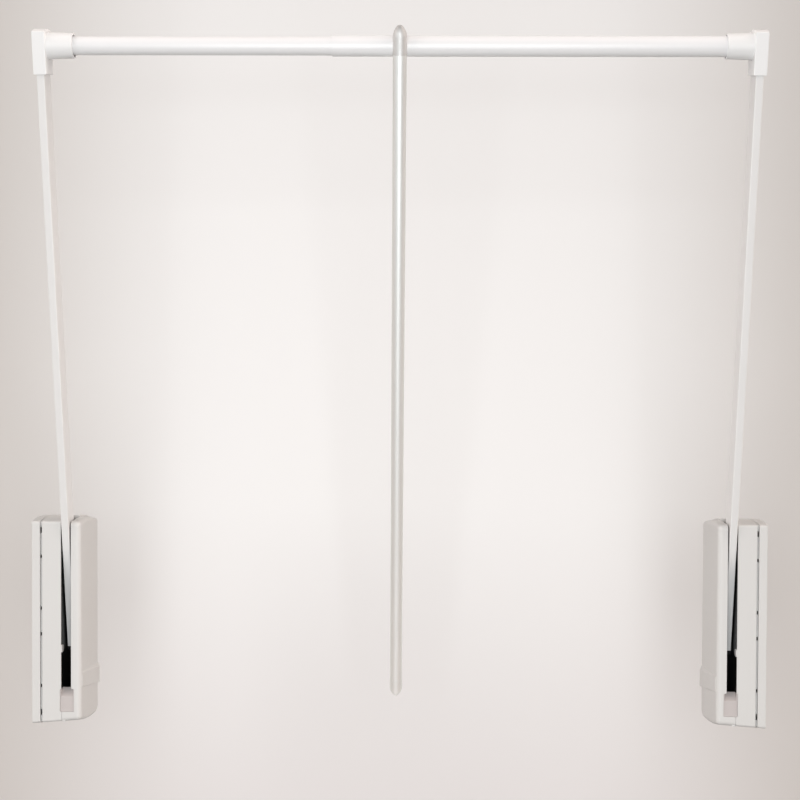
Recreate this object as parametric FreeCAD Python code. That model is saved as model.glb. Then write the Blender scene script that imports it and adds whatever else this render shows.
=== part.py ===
import FreeCAD, Part
import math
import os

V = FreeCAD.Vector

# Pull-down wardrobe rail. Two spring housings on the side panels, two arms, a
# telescopic rail and a pull handle. Millimetres and degrees.
# +X runs along the rail from the left panel to the right one, -Y is the front of
# the wardrobe, +Z is up. The origin is on the face of the left side panel, in the
# middle of the left base plate's screw pattern. One unit is modelled with x counted
# from its own panel, and the right one is its mirror image.

# ---- driving dimensions ----
inner_width = 900.0            # between the two side panels

housing_depth = 96.0           # front to back
housing_height = 247.0         # along the straight front edge
housing_thickness = 60.0       # from the panel to the flat inner face
# front, middle and rear of the curved top and bottom, above the plain height
outer_top = (0.0, 2.5, -4.0)   # base plate and outer shell
inner_top = (-0.5, 0.3, -5.5)  # inner shell
curved_bottom = (-1.8, -11.4, -14.2)   # all three, at the panel
bottom_taper = 4.5             # the bottom rises towards the inner face
outer_corners = (3.0, 3.0, 3.0, 3.0)   # radii: top front, top rear, bottom front, bottom rear
inner_corners = (6.0, 5.0, 5.0, 12.0)
wall = 2.0                     # moulded shell wall
soft_edge = 5.5                # rounding round the flat inner face
seam_gap = 0.3                 # between the two shells
part_gap = 0.4                 # between a shell and what sits inside it

base_height = 9.8              # visible rim of the base plate
base_floor = 3.0
groove_width = 2.6             # shadow groove between rim and outer shell
groove_depth = 4.0
groove_end_depth = 0.5         # the groove is nearly closed across the top and bottom
tongue_wall = 2.0
tongue_lap = 3.0               # how far the tongue reaches into the outer shell
window_width = 1.5             # clip windows in the groove, next to the rim
window_length = 4.2
end_window_length = 7.2
end_window_drop = 11.0         # outermost windows below the top and above the bottom
window_heights = (16.0, 80.0)

screw_pitch_y = 64.0           # mounting screws, two columns of the 32 mm system
screw_pitch_z = 192.0
screw_hole = 5.0
screw_pad = 13.0
screw_pad_height = 2.0
rib = 1.6

slot_centre = 41.8             # plane in which the arm swings
slot_width = 12.4
slot_back = 0.0                # rear end of the slot in the top wall
pocket_width = 17.4            # pocket for the landing pad below the slot
pocket_height = 28.5
pocket_bottom = 12.0           # above the front bottom edge
pocket_shift = 1.0             # pocket centre, inboard of the slot centre
pocket_round = 1.4
pad_recess = 1.2
pad_wall = 1.4                 # side walls of the pad next to the landing face
pad_lip = 1.6
pad_lip_thickness = 1.6

seam_shift = 0.8               # seam between the shells, inboard of the slot's outer edge
seam_nub = 4.1                 # width and depth of a nub beside the seam, under the shell
seam_nub_drop = 1.1

band_heights = (19.0, 26.0)    # raised band low on the inner face: front and rear
band_rises = (0.6, 2.2)        # how far it stands proud
band_chamfers = (0.9, 4.6)     # slope along its top edge
band_lift = 51.5               # its centre line at the front edge, above the bottom
band_slope = 6.3               # it falls towards the back
band_end = 2.0                 # its rear end in front of the rear edge

hook_length = 8.8              # moulded hook of the outer shell on the edge of the cheek
hook_depth = 8.0
hook_lift = 90.0               # its middle above the bottom

sheet = 2.0                    # chassis steel
chassis_inset = 6.0            # chassis edge inside the housing outline
chassis_end = 11.5             # chassis inside the top and bottom
cheek_gap = 0.3                # cheek behind the edge of the slot
shelf = 3.0
shelf_drop = 17.5              # upper shelf below the top
shelf_lift = 26.5              # lower shelf above the bottom

pivot_y = -6.4
pivot_lift = 86.0              # pivot above the bottom
arm_tilt = 11.5                # forward lean of the raised arm
arm_reach = 732.4              # pivot axis to rail axis
arm_travel = 120.0             # lift angle from raised to lowered
arm_width = 9.2
arm_depth = 28.0
arm_wall = 1.4
arm_edge = 1.3
arm_start = 5.0                # lower end of the tube above the pivot axis
arm_overrun = 6.0              # upper end of the tube above the rail axis

axle = 7.0
axle_head = 14.0
axle_head_thickness = 2.5
axle_boss = 18.0
axle_boss_height = 6.0
running_fit = 0.05
hub_barrel = 16.4
hub_shaft = 11.0
hub_flats = 9.0
hub_fit = 0.2                  # tube's coped end round the barrel
hub_outer_end = 14.6           # x where the hub shaft ends
tang_length = 62.0
tang_gap = 0.1
bush_wall = 0.8
bush_flange = 14.4
bush_flange_thickness = 1.3
rivet = 4.0
rivet_head = 7.0
rivet_head_rise = 0.9
rivet_heights = (26.0, 52.0)

gear_module = 1.6
gear_teeth_full = 20           # teeth on a full circle of the sector's size
gear_pressure_angle = 20.0
gear_backlash = 0.15           # taken off each tooth
gear_root_clearance = 0.4
gear_width = 8.0
gear_x = 21.0                  # outer face of the sector and rack
rack_back = 6.4                # rack bar behind the roots
cross_lift = 20.5              # crosshead above the pivot
cross_height = 10.0
cross_front = -12.5
cross_back = 38.0
cross_outer = 9.0
cross_inner = 31.5
cross_round = 4.0

guide_x = 19.0
guide_y = 28.0
guide_rod = 9.0
guide_head = 12.0
guide_head_thickness = 2.5
spring_wire = 2.6
spring_mean = 18.0
spring_turns = 10.5
spring_steps = 12              # flats per turn
damper_x = 18.0
damper_y = -4.0
damper_body = 15.0
damper_gap = 4.9               # above the lifted crosshead
damper_neck = 6.0
damper_wall = 1.5
damper_rod = 5.0
damper_rod_reach = 12.0        # rod inside the cylinder at rest
damper_collar = 8.0
damper_collar_height = 2.0

shell_screw = 3.5
shell_screw_head = 7.0
shell_screw_head_height = 2.0
shell_screw_recess = 2.5
shell_screw_boss = 11.0
shell_screw_drop = 39.5        # below the top and above the bottom
shell_screw_outer_x = 25.0
shell_screw_inner_x = 45.0
inner_rib_heights = (-60.0, 5.0, 65.0)

elbow_width = 15.0
elbow_depth = 31.8
elbow_leg = 32.2               # leg below the rail axis
elbow_top = 15.4               # front edge of the leg's top above the rail axis
elbow_crown = 3.2              # the leg's top bulges this much more
elbow_corner = 1.5
elbow_edge = 0.9
elbow_fit = 0.1
socket_root = 30.6
socket_mouth = 28.2
socket_end = 79.0              # x of the mouth
socket_floor = 2.0
socket_bore = 24.8
elbow_screw = 3.5
elbow_screw_head = 6.6
elbow_screw_drop = 18.0        # below the rail axis

thick_tube = 23.6
thin_tube = 21.2
tube_wall = 1.0
tube_fit = 0.1                 # radial, thin tube in thick tube
tube_joint_x = 374.0           # mouth of the thick tube
tube_lap = 250.0               # thin tube inside the thick tube
plug_head = 3.0
plug_depth = 14.0
adapter_setback = 5.0          # adapter ring behind the socket's mouth

handle_x = 451.0
handle_tilt = 19.2             # lower end leans to the back
handle_lean = 0.4              # and a little to the left, turned on the clip's stud
handle_offset = 14.0           # rod axis in front of the rail axis
handle_head = 16.1
handle_tip = 25.0              # tip above the rail axis
handle_nose = 13.6             # length of the pointed nose
handle_tip_radius = 4.7
handle_head_drop = 8.2         # lower end of the head below the rail axis
handle_tube = 15.9
handle_tube_wall = 1.2
handle_spigot = 22.0
handle_end = 848.6             # pointed lower end below the rail axis
cap_diameter = 16.7
cap_dome = 14.0
cap_tip_radius = 3.7
cap_collar = 12.0
cap_lip = 0.3                  # thickness of the collar's upper edge
clip_wall = 2.7
clip_width = 12.0
clip_fit = 0.1
clip_mouth = 100.0             # opening angle of the clip
clip_stud = 5.0
clip_stud_length = 3.5

# ---- derived dimensions ----
front_y = -housing_depth / 2
back_y = housing_depth / 2
bottom_z = -housing_height / 2
top_z = housing_height / 2
shell_x = base_height + groove_width
slot_outer = slot_centre - slot_width / 2
slot_inner = slot_centre + slot_width / 2
seam_x = slot_outer + seam_shift
pocket_centre = slot_centre + pocket_shift
pocket_low = bottom_z + pocket_bottom
pocket_high = pocket_low + pocket_height
flange_x = base_floor + screw_pad_height
cheek_outer = slot_outer - cheek_gap - sheet
cheek_inner = slot_inner + cheek_gap
cheek_front = front_y + wall + part_gap
web_y = back_y - chassis_inset
shelf_top = top_z - shelf_drop
shelf_low = bottom_z + shelf_lift
shell_screw_height = top_z - shell_screw_drop
pivot_z = bottom_z + pivot_lift
arm_outer = slot_centre - arm_width / 2
arm_inner = slot_centre + arm_width / 2
gear_pitch = gear_module * gear_teeth_full / 2
gear_tip = gear_pitch + gear_module
gear_root = gear_pitch - gear_module - gear_root_clearance
rack_pitch = math.pi * gear_module
rack_travel = gear_pitch * math.radians(arm_travel)
cross_bottom = pivot_z + cross_lift
cross_top = cross_bottom + cross_height
damper_bottom = cross_top + rack_travel + damper_gap
damper_rod_top = damper_bottom + damper_rod_reach
landing_angle = math.radians(arm_tilt + arm_travel - 90)     # lowered arm below the horizontal
rail_y = pivot_y - arm_reach * math.sin(math.radians(arm_tilt))
rail_z = pivot_z + arm_reach * math.cos(math.radians(arm_tilt))
elbow_outer = slot_centre - elbow_width / 2
elbow_inner = slot_centre + elbow_width / 2
socket_start = elbow_inner + socket_floor
tiny = 1e-5


# ---- small builders ----
def rod_x(diameter, x0, x1, y, z):
    return Part.makeCylinder(diameter / 2, x1 - x0, V(x0, y, z), V(1, 0, 0))


def rod_y(diameter, y0, y1, x, z):
    return Part.makeCylinder(diameter / 2, y1 - y0, V(x, y0, z), V(0, 1, 0))


def rod_z(diameter, z0, z1, x, y):
    return Part.makeCylinder(diameter / 2, z1 - z0, V(x, y, z0), V(0, 0, 1))


def block(x0, x1, y0, y1, z0, z1):
    return Part.makeBox(x1 - x0, y1 - y0, z1 - z0, V(x0, y0, z0))


def plate_yz(points, x0, x1):
    """Prism along X over a polygon of (y, z) points."""
    corners = [V(x0, y, z) for y, z in points]
    face = Part.Face(Part.makePolygon(corners + corners[:1]))
    return face.extrude(V(x1 - x0, 0, 0))


def line(r0, z0, r1, z1):
    """Straight piece of a turned profile, between two points of (radius, height)."""
    return Part.LineSegment(V(r0, 0, z0), V(r1, 0, z1)).toShape()


def cap_arc(r, z, rise):
    """Arc of a ball-shaped cap in a turned profile, from (r, z) to the axis at z + rise."""
    ball = (r * r + rise * rise) / (2 * abs(rise))
    half = math.asin(r / ball) / 2
    way = math.copysign(1, rise)
    middle = V(ball * math.sin(half), 0, z + rise - way * ball * (1 - math.cos(half)))
    return Part.Arc(V(r, 0, z), middle, V(0, 0, z + rise)).toShape()


def nose_arcs(r, z, rise, tip):
    """Slim nose of a turned profile: a long arc, smooth at (r, z), and a ball-shaped tip."""
    way = math.copysign(1, rise)
    up = abs(rise) - tip
    long = (r * r + up * up - tip * tip) / (2 * (r - tip))
    lean = math.atan2(up, long - r)

    def on_long(angle):
        return V(r - long + long * math.cos(angle), 0, z + way * long * math.sin(angle))

    joint = on_long(lean)
    side = Part.Arc(V(r, 0, z), on_long(lean / 2), joint).toShape()
    return [side, cap_arc(joint.x, joint.z, z + rise - joint.z)]


def outline(points):
    """Open chain of straight pieces through points of (radius, height)."""
    return [line(*a, *b) for a, b in zip(points[:-1], points[1:])]


def turned(edges, centre, axis_z=True):
    """Solid of revolution over a closed profile of (radius, height) edges."""
    solid = Part.Face(Part.Wire(edges)).revolve(V(0, 0, 0), V(0, 0, 1), 360)
    if not axis_z:
        solid.rotate(V(0, 0, 0), V(0, 1, 0), 90)
    solid.translate(centre)
    return solid


def lengthwise(shape, direction):
    """Edges of a shape that run along one axis: 0 for X, 1 for Y, 2 for Z."""
    found = []
    for edge in shape.Edges:
        if len(edge.Vertexes) != 2 or edge.Curve.TypeId != "Part::GeomLine":
            continue
        step = edge.Vertexes[1].Point - edge.Vertexes[0].Point
        across = [abs(step[i]) for i in range(3) if i != direction]
        if max(across) < tiny:
            found.append(edge)
    return found


def edges_at_x(shape, x):
    return [e for e in shape.Edges if all(abs(v.X - x) < tiny for v in e.Vertexes)]


def fused(first, others):
    return first.multiFuse(list(others)).removeSplitter()


def cut_all(shape, tools):
    for tool in tools:
        shape = shape.cut(tool)
    return shape


def one_solid(shape):
    """The single solid inside a boolean's result."""
    solids = shape.Solids
    if len(solids) != 1:
        raise ValueError("expected one solid, found %d" % len(solids))
    return solids[0]


def in_arm_frame(shape):
    """From a frame with the pivot at 0 and the arm along +Z to the raised arm's place."""
    shape = shape.copy()
    shape.rotate(V(0, 0, 0), V(1, 0, 0), arm_tilt)
    shape.translate(V(0, pivot_y, pivot_z))
    return shape


# ---- housing pieces, x counted from the panel ----
def bottom_rise(x):
    return x * math.tan(math.radians(bottom_taper))


def housing_block(inset, end_inset, x0, x1, top, corners):
    """Side view of a housing piece along X, moved in by inset and end_inset. Its top is level
    across and its bottom rises towards the inner face."""
    y0, y1 = front_y + inset, back_y - inset
    base = bottom_z + bottom_rise(x0) + end_inset
    high = [V(x0, y, top_z + rise - end_inset) for y, rise in zip((y0, 0, y1), top)]
    low = [V(x0, y, base + rise) for y, rise in zip((y0, 0, y1), curved_bottom)]
    edges = [
        Part.LineSegment(low[0], high[0]).toShape(), Part.Arc(*high).toShape(),
        Part.LineSegment(high[2], low[2]).toShape(), Part.Arc(*low[::-1]).toShape(),
    ]
    level = Part.Face(Part.Wire(edges)).extrude(V(x1 - x0, 0, 0))
    for point, corner in zip((high[0], high[2], low[0], low[2]), corners):
        sharp = [e for e in lengthwise(level, 0)
                 if any(v.Point.distanceToPoint(point) < tiny for v in e.Vertexes)]
        level = level.makeFillet(max(corner - inset, wall / 3), sharp)
    side_view = [f for f in level.Faces if abs(f.BoundBox.XMax - x0) < tiny][0]
    rising = side_view.extrude(V(x1 - x0, 0, bottom_rise(x1 - x0)))
    return one_solid(level.common(rising))


def outer_block(inset, x0, x1):
    return housing_block(inset, inset, x0, x1, outer_top, outer_corners)


def inner_block(inset, x0, x1):
    return housing_block(inset, inset, x0, x1, inner_top, inner_corners)


def mounting_holes():
    return [(sy * screw_pitch_y / 2, sz * screw_pitch_z / 2) for sy in (-1, 1) for sz in (-1, 1)]


def base_plate():
    tongue_end = shell_x + tongue_lap
    rim = outer_block(0, 0, base_height)
    closed_ends = housing_block(groove_depth, groove_end_depth, 0, shell_x - seam_gap,
                                outer_top, outer_corners)
    tongue = outer_block(groove_depth, 0, tongue_end)
    hollow = outer_block(groove_depth + tongue_wall, base_floor, tongue_end + 1)
    plate = fused(rim, [closed_ends, tongue]).cut(hollow)
    reach_z = screw_pitch_z / 2
    raised = [rod_x(screw_pad, 0, flange_x, y, z) for y, z in mounting_holes()]
    for side in (-1, 1):
        centre = side * screw_pitch_y / 2
        raised.append(block(0, flange_x, centre - rib / 2, centre + rib / 2, -reach_z, reach_z))
    for height in (-reach_z / 2, reach_z / 2):
        raised.append(block(0, flange_x, -screw_pitch_y / 2, screw_pitch_y / 2,
                            height - rib / 2, height + rib / 2))
    plate = fused(plate, raised)
    cuts = [rod_x(screw_hole, -1, flange_x + 1, y, z) for y, z in mounting_holes()]
    through = groove_depth + tongue_wall
    end_window = top_z - end_window_drop
    windows = [(height, window_length) for height in window_heights]
    for height, length in windows + [(end_window, end_window_length)]:
        for z in (-height, height):
            for y in (front_y, back_y - through):
                cuts.append(block(base_height, base_height + window_width, y, y + through,
                                  z - length / 2, z + length / 2))
    return one_solid(cut_all(plate, cuts))


def slot_cuts():
    """What the arm's slot and the pad's pocket take out of both shells."""
    high = top_z + max(outer_top) + 1
    top_low = top_z - wall - inner_corners[0]
    front_deep = wall + part_gap
    pocket = block(pocket_centre - pocket_width / 2, pocket_centre + pocket_width / 2,
                   front_y - 1, front_y + front_deep, pocket_low, pocket_high)
    return [
        pocket.makeFillet(pocket_round, lengthwise(pocket, 1)),
        block(slot_outer, slot_inner, front_y - 1, front_y + front_deep, pocket_high - wall, high),
        block(slot_outer, slot_inner, front_y - 1, slot_back, top_low, high),
    ]


def screw_boss(x, z):
    return rod_y(shell_screw_boss, web_y, back_y - wall / 2, x, z)


def screw_boss_cuts(x, z):
    return [
        rod_y(shell_screw + 2 * elbow_fit, web_y - 1, back_y + 1, x, z),
        rod_y(shell_screw_head + 2 * part_gap, back_y - shell_screw_recess, back_y + 1, x, z),
    ]


def shell(outside, inside, screw_x, ribs):
    skin = outside.cut(inside)
    bosses = [screw_boss(screw_x, side * shell_screw_height) for side in (-1, 1)]
    skin = fused(skin, bosses + [part.common(outside) for part in ribs])
    cuts = slot_cuts()
    for side in (-1, 1):
        cuts += screw_boss_cuts(screw_x, side * shell_screw_height)
    return one_solid(cut_all(skin, cuts))


def cheek_hook():
    """Rounded hook that reaches from the slot's edge over the front of the outer cheek."""
    z = bottom_z + hook_lift
    half = hook_length / 2
    y = front_y + hook_depth - half / 2
    x0 = cheek_outer + sheet + seam_gap
    x1 = arm_outer - part_gap
    tongue = rod_x(hook_length, x0, x1, y, z)
    return tongue.fuse([
        block(x0, x1, front_y + wall / 2, y, z - half, z + half),
        block(x0 - wall, x1, front_y + wall / 2, cheek_front - seam_gap / 2, z - half, z + half),
    ]).removeSplitter()


def outer_shell():
    end = seam_x - seam_gap / 2
    outside = outer_block(0, shell_x, end)
    outside = outside.makeFillet(wall / 4, edges_at_x(outside, shell_x))
    inside = outer_block(wall, shell_x - 1, end + 1)
    cover = shell(outside, inside, shell_screw_outer_x, [])
    return one_solid(cover.fuse(cheek_hook()).removeSplitter())


def inner_shell():
    start = seam_x + seam_gap / 2
    outside = inner_block(0, start, housing_thickness)
    outside = outside.makeFillet(soft_edge, edges_at_x(outside, housing_thickness))
    top_rim = outer_block(0, start, slot_inner)
    top_rim = top_rim.cut(block(0, housing_thickness, front_y - 1, back_y + 1, 2 * bottom_z, 0))
    nub_low = bottom_z + curved_bottom[0] + bottom_rise(start) - seam_nub_drop
    nub = block(start, start + seam_nub, front_y + wall / 2, front_y + seam_nub,
                nub_low, nub_low + seam_nub_drop + wall)
    outside = fused(outside, [top_rim, nub])
    inside = inner_block(wall, start - 1, housing_thickness - wall)
    inside = inside.makeFillet(soft_edge - wall, edges_at_x(inside, housing_thickness - wall))
    rib_x = cheek_inner + sheet + part_gap
    ribs = [block(rib_x, housing_thickness, front_y, back_y, z - rib / 2, z + rib / 2)
            for z in inner_rib_heights]
    cover = shell(outside, inside, shell_screw_inner_x, ribs)
    return one_solid(cover.fuse(raised_band()).removeSplitter())


def raised_band():
    """Wedge on the flat inner face: it grows to the back, where its top edge is a wide slope."""
    ends = (front_y + soft_edge, back_y - band_end)
    fall = math.tan(math.radians(band_slope))

    def section(rises, top_trims, trim):
        below, above = [], []
        for y, side, height, rise, top_trim in zip(ends, (1, -1), band_heights, rises, top_trims):
            x = housing_thickness + rise
            middle = bottom_z + band_lift - fall * (y - front_y)
            below.append(V(x, y + side * trim, middle - height / 2 + trim))
            above.append(V(x, y + side * trim, middle + height / 2 - top_trim))
        corners = below + above[::-1]
        return Part.makePolygon(corners + corners[:1])

    bed = section((-wall * 0.75, -wall * 0.75), (0, 0), 0)
    foot = section((0, 0), (0, 0), 0)
    crest = section(band_rises, band_chamfers, band_rises[0])
    root = Part.makeLoft([bed, foot], True, True)
    return root.fuse(Part.makeLoft([foot, crest], True, True)).removeSplitter()


def cheek(x):
    """Side plate of the chassis next to the slot, notched round the landing pad."""
    high = top_z - chassis_end
    behind_pad = pad_back() + part_gap
    above_pad = pocket_high + pad_lip
    points = [
        (behind_pad, -high), (web_y, -high), (web_y, high), (cheek_front, high),
        (cheek_front, above_pad), (behind_pad, above_pad),
    ]
    return plate_yz(points, x, x + sheet)


def chassis():
    half = top_z - chassis_end
    flange = block(flange_x, flange_x + sheet, -web_y, web_y, -half, half)
    web = block(flange_x, cheek_inner + sheet, web_y - sheet, web_y, -half, half)
    shelf_x1 = cheek_outer + sheet
    high_front = damper_y - damper_body / 2 - wall
    high_shelf = block(flange_x, shelf_x1, high_front, web_y, shelf_top, shelf_top + shelf)
    low_front = guide_y - guide_head
    low_shelf = block(flange_x, shelf_x1, low_front, web_y, shelf_low - shelf, shelf_low)
    boss_end = flange_x + sheet + axle_boss_height
    boss = rod_x(axle_boss, flange_x, boss_end, pivot_y, pivot_z)
    body = fused(flange, [web, cheek(cheek_outer), cheek(cheek_inner), high_shelf, low_shelf, boss])
    hub_hole = hub_shaft + 2 * running_fit + 2 * bush_wall
    cuts = [
        rod_x(axle, 0, cheek_inner + sheet + 1, pivot_y, pivot_z),
        rod_x(hub_hole, cheek_outer - 1, cheek_outer + sheet + 1, pivot_y, pivot_z),
        rod_z(guide_rod, shelf_low - shelf - 1, shelf_top + shelf + 1, guide_x, guide_y),
    ]
    for y, z in mounting_holes():
        cuts.append(rod_x(screw_hole, flange_x - 1, flange_x + sheet + 1, y, z))
        driver_hole = screw_pad - wall
        cuts.append(rod_x(driver_hole, cheek_outer - 1, cheek_inner + sheet + 1, y, z))
    for x in (shell_screw_outer_x, shell_screw_inner_x):
        for side in (-1, 1):
            cuts.append(rod_y(shell_screw, web_y - sheet - 1, web_y + 1, x,
                              side * shell_screw_height))
    window_z0 = damper_bottom + damper_neck
    window_z1 = shelf_top - chassis_inset * 2
    window = block(flange_x - 1, flange_x + sheet + 1, -screw_pitch_y / 4, screw_pitch_y / 4,
                   window_z0, window_z1)
    cuts.append(window.makeFillet(cross_round, lengthwise(window, 0)))
    return one_solid(cut_all(body, cuts))


def pad_back():
    """Depth at which the plane under the lowered arm meets the top of the pad's pocket."""
    rise = pocket_high - seam_gap / 2 - pivot_z
    reach = arm_depth / 2 + seam_gap
    return pivot_y + (rise * math.cos(landing_angle) + reach) / math.sin(landing_angle)


def slot_pad():
    """Soft block in the pocket, with a landing face that slopes like the lowered arm."""
    fit = seam_gap / 2
    front = front_y + pad_recess
    back = pad_back()
    low = pocket_low + fit
    high = pocket_high - fit
    slope = math.tan(landing_angle)
    front_high = high - (back - front) * slope
    half = pocket_width / 2 - fit
    body = block(pocket_centre - half, pocket_centre + half, front, back, low, high)
    body = body.makeFillet(pocket_round - fit, lengthwise(body, 1))
    over = high + slope
    body = body.cut(plate_yz([(front - 1, front_high - slope), (back + 1, over), (front - 1, over)],
                             pocket_centre - half + pad_wall, pocket_centre + half - pad_wall))
    lip_y = front_y + wall + fit
    lip_half = half + pad_lip
    lip = block(pocket_centre - lip_half, pocket_centre + lip_half, lip_y,
                lip_y + pad_lip_thickness, low - pad_lip, front_high - pad_lip)
    return one_solid(body.fuse(lip).removeSplitter())


def pivot_axle():
    """Riveted pin from the base flange to the inner cheek, with a domed head."""
    r = axle / 2
    head = axle_head / 2
    x0 = flange_x - wall + part_gap
    x1 = flange_x
    x2 = cheek_inner + sheet
    x3 = x2 + axle_head_thickness
    tail = r + wall
    edges = outline([(0, x3), (0, x0), (tail, x0), (tail, x1), (r, x1), (r, x2), (head, x2)])
    edges.append(cap_arc(head, x2, axle_head_thickness))
    return turned(edges, V(0, pivot_y, pivot_z), False)


def hub_bush():
    """Flanged nylon bush in the outer cheek, between the hub and the slot."""
    bore = hub_shaft + 2 * running_fit
    face = cheek_outer + sheet
    sleeve = rod_x(bore + 2 * bush_wall, cheek_outer, face, pivot_y, pivot_z)
    flange = rod_x(bush_flange, face, face + bush_flange_thickness, pivot_y, pivot_z)
    hole = rod_x(bore, cheek_outer - 1, face + bush_flange_thickness + 1, pivot_y, pivot_z)
    return one_solid(sleeve.fuse(flange).removeSplitter().cut(hole))


def guide_rod_piece():
    low = shelf_low - shelf
    high = shelf_top + shelf
    rod = rod_z(guide_rod, low, high, guide_x, guide_y)
    heads = [
        rod_z(guide_head, low - guide_head_thickness, low, guide_x, guide_y),
        rod_z(guide_head, high, high + guide_head_thickness, guide_x, guide_y),
    ]
    return one_solid(fused(rod, heads))


def lift_spring():
    """Compression coil of square wire, drawn with flats, between crosshead and shelf."""
    half = spring_wire / 2
    r_in = spring_mean / 2 - half
    r_out = spring_mean / 2 + half
    steps = int(round(spring_turns * spring_steps))
    climb = (shelf_top - cross_top - spring_wire) / steps
    rings = []
    for step in range(steps + 1):
        angle = 2 * math.pi * step / spring_steps
        low = cross_top + climb * step
        c, s = math.cos(angle), math.sin(angle)
        ring = [V(guide_x + r * c, guide_y + r * s, low + up)
                for r, up in ((r_in, 0), (r_out, 0), (r_out, spring_wire), (r_in, spring_wire))]
        rings.append(ring)
    faces = []

    def face(*corners):
        faces.append(Part.Face(Part.makePolygon(list(corners) + [corners[0]])))

    for a, b in zip(rings[:-1], rings[1:]):
        face(a[1], b[1], b[2], a[2])
        face(a[3], b[3], b[0], a[0])
        face(a[0], b[0], b[1])
        face(a[0], b[1], a[1])
        face(a[2], b[2], b[3])
        face(a[2], b[3], a[3])
    face(*rings[0])
    face(*rings[-1])
    return Part.Solid(Part.Shell(faces))


def damper_cylinder():
    r = damper_body / 2
    neck = r - damper_wall
    z0, z1 = damper_bottom, shelf_top
    bore = damper_rod / 2 + running_fit
    deep = damper_rod_top + rack_travel + wall
    edges = outline([
        (bore, z0), (neck, z0), (neck, z0 + damper_neck), (r, z0 + damper_neck + damper_wall),
        (r, z1 - damper_wall), (neck, z1), (0, z1), (0, deep), (bore, deep), (bore, z0),
    ])
    return turned(edges, V(damper_x, damper_y, 0))


def damper_rod_piece():
    rod = rod_z(damper_rod, cross_bottom, damper_rod_top, damper_x, damper_y)
    collar = rod_z(damper_collar, cross_top, cross_top + damper_collar_height, damper_x, damper_y)
    return one_solid(rod.fuse(collar).removeSplitter())


def shell_screws():
    screws = []
    seat = back_y - shell_screw_recess
    for x in (shell_screw_outer_x, shell_screw_inner_x):
        for side in (-1, 1):
            z = side * shell_screw_height
            shank = rod_y(shell_screw, web_y - sheet - 1, seat, x, z)
            head = rod_y(shell_screw_head, seat, seat + shell_screw_head_height, x, z)
            socket = rod_y(shell_screw_head / 3, seat + shell_screw_head_height / 2, back_y, x, z)
            screws.append(one_solid(shank.fuse(head).removeSplitter().cut(socket)))
    return Part.makeCompound(screws)


# ---- rack and toothed sector ----
def involute(angle):
    return math.tan(angle) - angle


def gear_tooth(centre_angle):
    """One tooth with involute flanks, as a prism along X about the pivot."""
    pressure = math.radians(gear_pressure_angle)
    base = gear_pitch * math.cos(pressure)
    half_pitch = math.pi / (2 * gear_teeth_full) - gear_backlash / (2 * gear_pitch)

    def half_angle(radius):
        roll = math.acos(min(1.0, base / radius))
        return half_pitch + involute(pressure) - involute(roll)

    radii = [base + (gear_tip - base) * i / 3 for i in range(4)]
    inside = gear_root - gear_root_clearance

    def at(radius, angle):
        y = radius * math.cos(centre_angle + angle)
        z = radius * math.sin(centre_angle + angle)
        return V(gear_x, pivot_y + y, pivot_z + z)

    left = [at(r, -half_angle(r)) for r in radii]
    right = [at(r, half_angle(r)) for r in radii]
    flank_a = Part.BSplineCurve()
    flank_a.interpolate(left)
    flank_b = Part.BSplineCurve()
    flank_b.interpolate(right[::-1])
    foot_a = at(inside, -half_angle(base))
    foot_b = at(inside, half_angle(base))
    edges = [
        Part.LineSegment(foot_a, left[0]).toShape(), flank_a.toShape(),
        Part.LineSegment(left[-1], right[-1]).toShape(), flank_b.toShape(),
        Part.LineSegment(right[0], foot_b).toShape(), Part.LineSegment(foot_b, foot_a).toShape(),
    ]
    return Part.Face(Part.Wire(edges)).extrude(V(gear_width, 0, 0))


def tooth_count_below():
    """Teeth needed behind the mesh point for the whole travel, with one to spare."""
    return int(math.ceil(arm_travel * gear_teeth_full / 360.0)) + 1


def toothed_sector():
    disc = rod_x(2 * gear_root, gear_x, gear_x + gear_width, pivot_y, pivot_z)
    step = 2 * math.pi / gear_teeth_full
    teeth = [gear_tooth(k * step) for k in range(-tooth_count_below(), 2)]
    body = fused(disc, teeth)
    return one_solid(body.cut(hub_section(gear_x - 1, gear_x + gear_width + 1, running_fit)))


def hub_section(x0, x1, grow):
    """Hub shaft with two flats, made larger by grow all round."""
    shaft = rod_x(hub_shaft + 2 * grow, x0, x1, pivot_y, pivot_z)
    half = hub_flats / 2 + grow
    flats = block(x0 - 1, x1 + 1, pivot_y - hub_shaft, pivot_y + hub_shaft,
                  pivot_z - half, pivot_z + half)
    return shaft.common(flats)


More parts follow.
